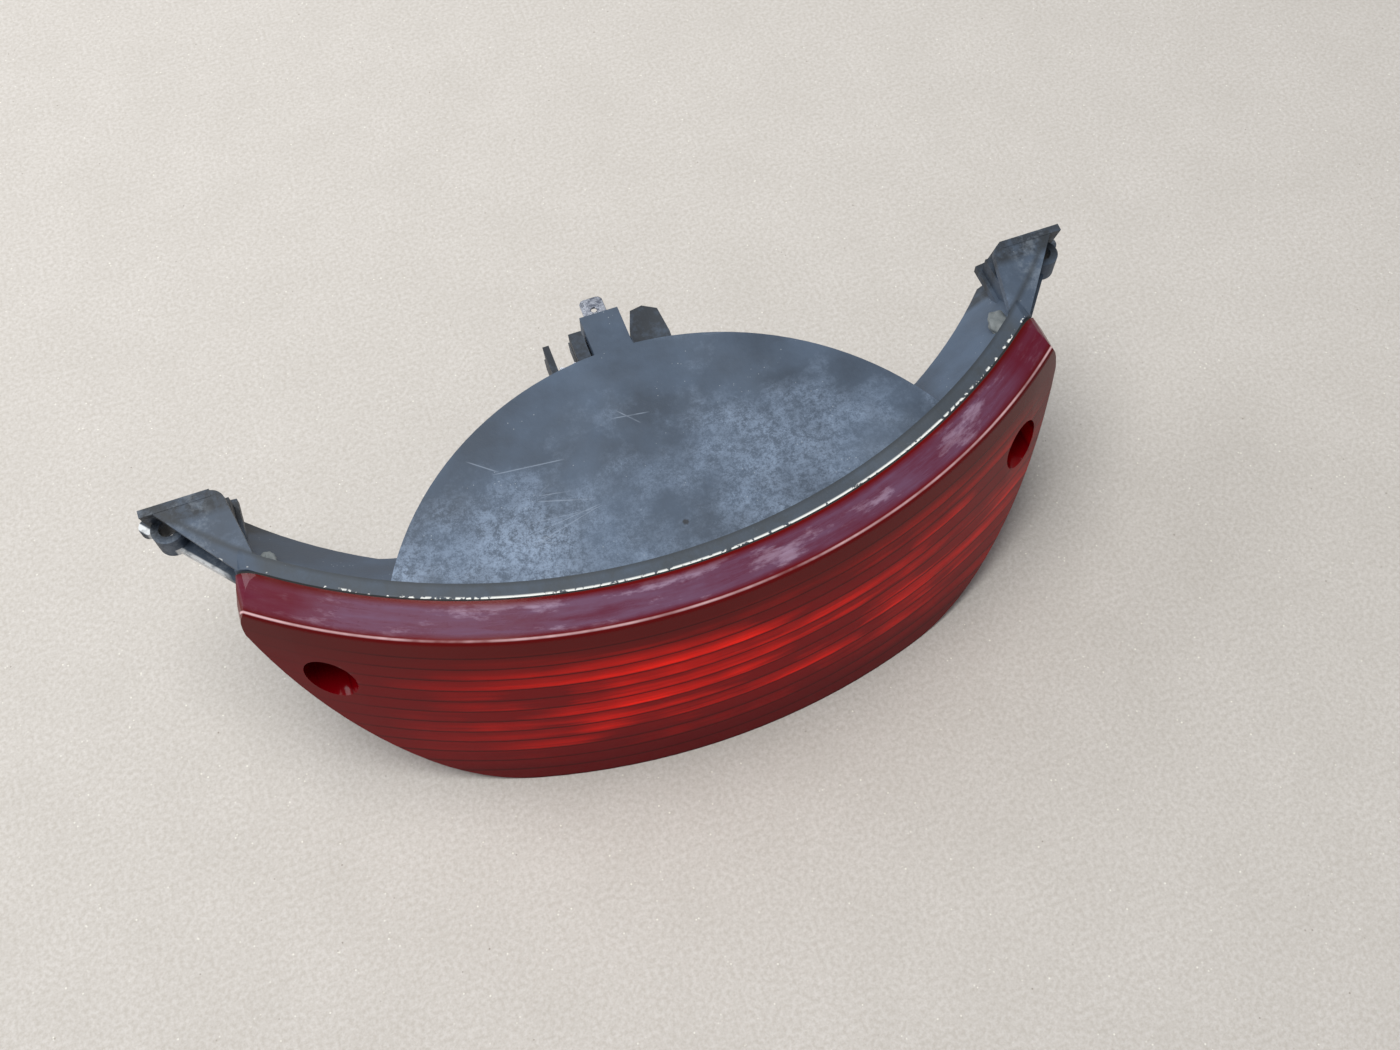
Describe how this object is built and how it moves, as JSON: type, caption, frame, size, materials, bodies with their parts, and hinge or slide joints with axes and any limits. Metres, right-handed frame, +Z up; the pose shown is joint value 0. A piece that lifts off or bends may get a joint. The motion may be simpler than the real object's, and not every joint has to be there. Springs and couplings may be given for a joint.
{
  "type": "motorcycle tail light",
  "caption": "Wide scooter tail light: a one-piece fluted red lens screwed to a dark housing with fixing ears, a sprung bayonet bulb and a blade connector.",
  "frame": {"origin": "on the floor, under the middle of the lamp's outer box", "axes": "+X to the right of someone facing the lens, +Y from the lens into the vehicle, +Z up from the floor to the flat top plate"},
  "size_m": [0.248, 0.1128, 0.0565],
  "materials": {
    "housing_plastic": "dark slate plastic, dusty and scuffed pale on top",
    "lens_red": "translucent red plastic, worn hazy gloss",
    "gasket_foam": "closed-cell foam, matt",
    "screw_steel": "zinc-plated steel, dulled",
    "seal_rubber": "smooth black rubber",
    "insert_brass": "turned brass",
    "bulb_clear_glass": "clear, polished",
    "stem_glass": "pressed clear glass",
    "tungsten": "drawn wire",
    "filament_lead_wire": "drawn wire",
    "cap_brass": "dull brass",
    "cap_black_glass": "glossy black",
    "solder": "soft satin metal",
    "holder_plated_steel": "yellowish zinc plating",
    "rivet_aluminium": "satin",
    "carrier_fibre": "brown laminated fibre board",
    "contact_brass": "stamped brass",
    "spring_steel": "drawn steel wire",
    "lead_red_plastic": "insulated wire, satin",
    "lead_blue_plastic": "insulated wire, satin",
    "terminal_tin": "tin plating, mottled and partly bright"
  },
  "bodies": {
    "base": {"housing": "housing_plastic", "ear_left": "housing_plastic", "ear_right": "housing_plastic", "lens": "lens_red", "lens_gasket": "gasket_foam", "screw_insert_left": "insert_brass", "screw_insert_right": "insert_brass", "holder_shell": "holder_plated_steel", "holder_rivets": "rivet_aluminium", "contact_spring": "spring_steel", "lead_stop": "lead_red_plastic", "lead_tail": "lead_blue_plastic", "earth_strap": "holder_plated_steel", "terminal_stop": "terminal_tin", "terminal_earth": "terminal_tin", "terminal_tail": "terminal_tin"},
    "carrier": {"contact_carrier": "carrier_fibre", "contact_pads": "contact_brass"},
    "bulb": {"bulb_glass": "bulb_clear_glass", "bulb_stem": "stem_glass", "filament_stop": "tungsten", "filament_tail": "tungsten", "filament_leads": "filament_lead_wire", "bulb_cap": "cap_brass", "bulb_pins": "cap_brass", "cap_insulator": "cap_black_glass", "cap_contacts": "solder"},
    "seal_left": {"screw_seal_left": "seal_rubber"},
    "seal_right": {"screw_seal_right": "seal_rubber"},
    "screw_left": {"lens_screw_left": "screw_steel"},
    "screw_right": {"lens_screw_right": "screw_steel"}
  },
  "joints": [
    {"name": "contact_push", "type": "slide", "parent": "base", "child": "carrier", "axis": [0, 1, 0], "range_m": [0, 0.002], "stiffness_N_per_m": 2000, "springref_m": -0.002, "deforming": ["contact_spring", "lead_stop", "lead_tail"]},
    {"name": "bulb_twist", "type": "hinge", "parent": "carrier", "child": "bulb", "pos_m": [0, 0.01, 0.0245], "axis": [0, -1, 0], "range_deg": [0, 22]},
    {"name": "screw_out_left", "type": "slide", "parent": "base", "child": "seal_left", "axis": [0, -1, 0], "range_m": [0, 0.0112]},
    {"name": "screw_turn_left", "type": "hinge", "parent": "seal_left", "child": "screw_left", "pos_m": [-0.091, 0, 0.035], "axis": [0, -1, 0], "continuous": true},
    {"name": "screw_out_right", "type": "slide", "parent": "base", "child": "seal_right", "axis": [0, -1, 0], "range_m": [0, 0.0112]},
    {"name": "screw_turn_right", "type": "hinge", "parent": "seal_right", "child": "screw_right", "pos_m": [0.091, 0, 0.035], "axis": [0, -1, 0], "continuous": true}
  ],
  "couplings": [
    {"joint": "screw_turn_left", "follows": "screw_out_left", "rad_per_m": 4488},
    {"joint": "screw_turn_right", "follows": "screw_out_right", "rad_per_m": 4488}
  ]
}
